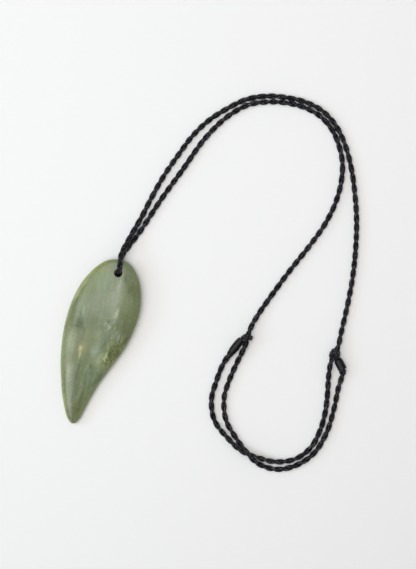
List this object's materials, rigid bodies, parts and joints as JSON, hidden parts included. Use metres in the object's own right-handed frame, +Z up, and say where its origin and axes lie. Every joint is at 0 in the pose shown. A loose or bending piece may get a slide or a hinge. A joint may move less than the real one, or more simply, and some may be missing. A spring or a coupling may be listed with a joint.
{
  "type": "tooth pendant",
  "caption": "Tooth-shaped green stone drop drilled through its broad head, hung on a black twisted cord that adjusts with sliding end loops.",
  "frame": {"origin": "on the surface that the pendant lies on, under the middle of the stone's length and width", "axes": "+Y along the stone from its tip to its drilled head, +Z up from the flat ground on its back, +X to the right seen from above"},
  "size_m": [0.1192, 0.1549, 0.0089],
  "materials": {
    "stone": "polished satin, mottled green with darker and paler veins",
    "cord": "waxed two-ply twist",
    "thread": "tightly wound waxed thread"
  },
  "bodies": {
    "root": {"tooth": "stone", "cord_bight": "cord", "cord_front": "cord", "cord_back": "cord", "left_slip_loop": "cord", "right_slip_loop": "cord", "left_whipping": "thread", "right_whipping": "thread"}
  },
  "joints": []
}
